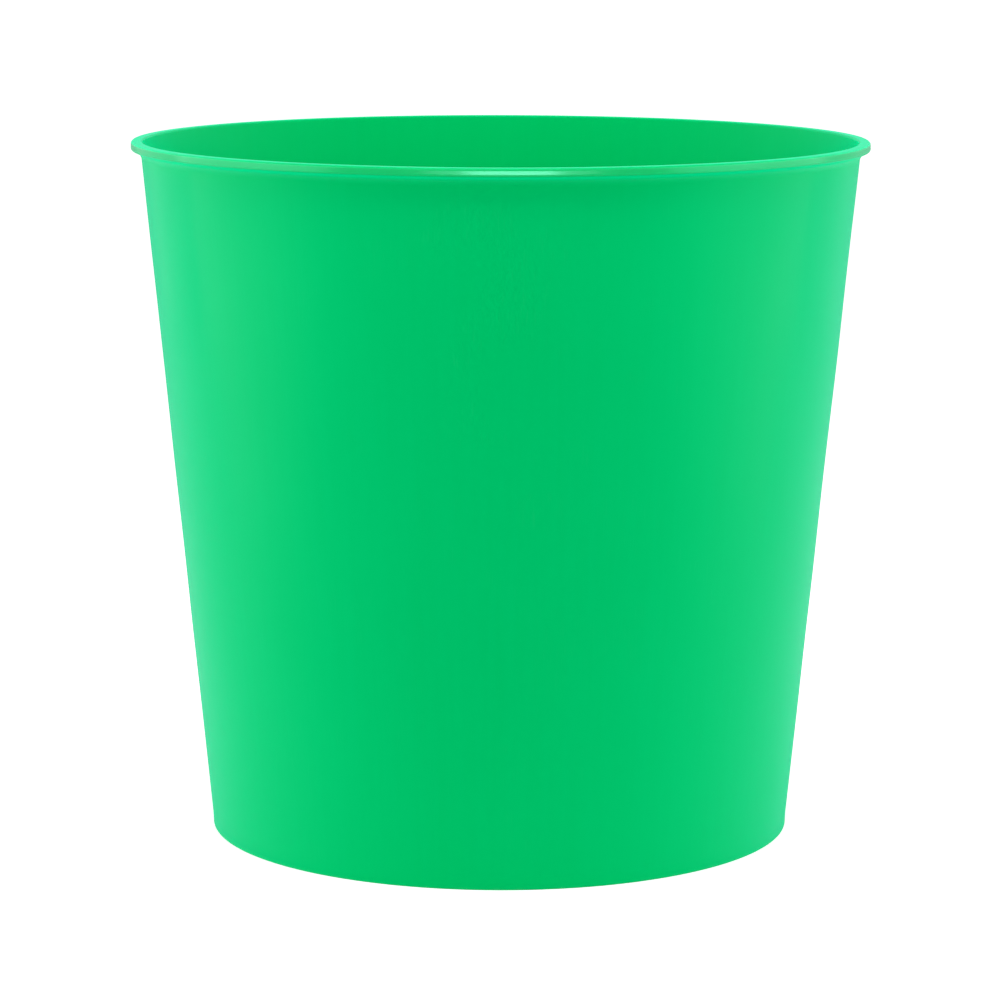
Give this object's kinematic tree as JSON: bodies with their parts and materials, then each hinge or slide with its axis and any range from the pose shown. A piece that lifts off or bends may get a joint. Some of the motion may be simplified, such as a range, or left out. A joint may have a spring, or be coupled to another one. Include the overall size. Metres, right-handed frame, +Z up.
{
  "type": "florist bucket",
  "caption": "Round tapered bucket with an open mouth, a small rounded bead round the rim and a floor recessed inside a low foot ring.",
  "frame": {"origin": "centre of the circle that the foot ring stands on, at ground level", "axes": "+Z up along the axis of the bucket, out of its mouth; the bucket is round, so +X and +Y are any two level directions at right angles"},
  "size_m": [0.25, 0.25, 0.236],
  "materials": {
    "green_plastic": "smooth glossy moulded polypropylene, one colour all through"
  },
  "bodies": {
    "root": {"foot_ring": "green_plastic", "floor_panel": "green_plastic", "side_wall": "green_plastic", "rim_bead": "green_plastic"}
  },
  "joints": []
}
